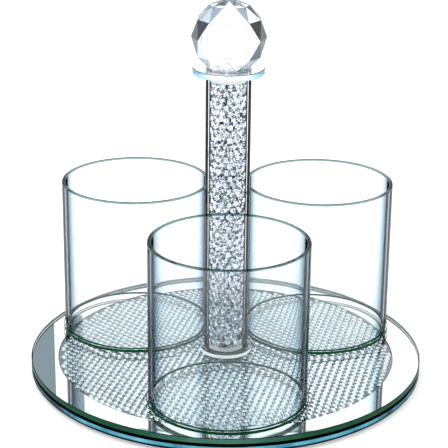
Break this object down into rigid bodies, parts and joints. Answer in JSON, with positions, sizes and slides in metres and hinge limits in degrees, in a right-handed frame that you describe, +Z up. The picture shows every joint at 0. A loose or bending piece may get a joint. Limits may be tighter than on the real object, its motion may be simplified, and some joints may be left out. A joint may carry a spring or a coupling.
{
  "type": "vanity cup stand",
  "caption": "Round mirrored vanity stand with open clear glass cups round a crystal-filled column topped by a faceted ball knob.",
  "frame": {"origin": "on the table under the centre of the round tray", "axes": "+Z up along the column, -Y towards the cup that stands alone at the front, +X to the right"},
  "size_m": [0.26, 0.26, 0.2497],
  "materials": {
    "tray_glass": "polished, green edge",
    "lower_glass": "polished, blue-green edge",
    "mirror": "silvered",
    "foil": "silver foil",
    "backing": "dark protective film",
    "spacer": "black",
    "rhinestone": "faceted, sparkling",
    "cup_glass": "clear, fire-polished rim",
    "disc_glass": "clear, green edge",
    "column_glass": "clear",
    "crystal_fill": "cut crystal stones in rows",
    "plug": "clear",
    "core": "bright",
    "collar_glass": "clear, faint blue edge",
    "ball_glass": "cut and polished",
    "steel": "zinc plated",
    "brass": "turned, nickel plated",
    "gasket": "soft, clear grey",
    "foot": "clear bumper"
  },
  "bodies": {
    "root": {"base_backing": "backing", "base_mirror": "mirror", "lower_glass": "lower_glass", "spacer_ring": "spacer", "crystal_foil": "foil", "crystal_stones": "rhinestone", "mirror_ring": "mirror", "top_glass": "tray_glass", "pocket_gasket": "gasket", "rod_washer": "steel", "rod_nut": "steel", "tie_rod": "steel", "column_foot": "disc_glass", "column_tube": "column_glass", "bottom_bush": "plug", "core_tube": "core", "crystal_fill": "crystal_fill", "top_plug": "plug", "collar": "collar_glass", "ball_insert": "brass", "ball_knob": "ball_glass", "foot_1": "foot", "foot_2": "foot", "foot_3": "foot", "foot_4": "foot", "cup_disc_front": "disc_glass", "cup_tube_front": "cup_glass", "cup_disc_right": "disc_glass", "cup_tube_right": "cup_glass", "cup_disc_left": "disc_glass", "cup_tube_left": "cup_glass"}
  },
  "joints": []
}
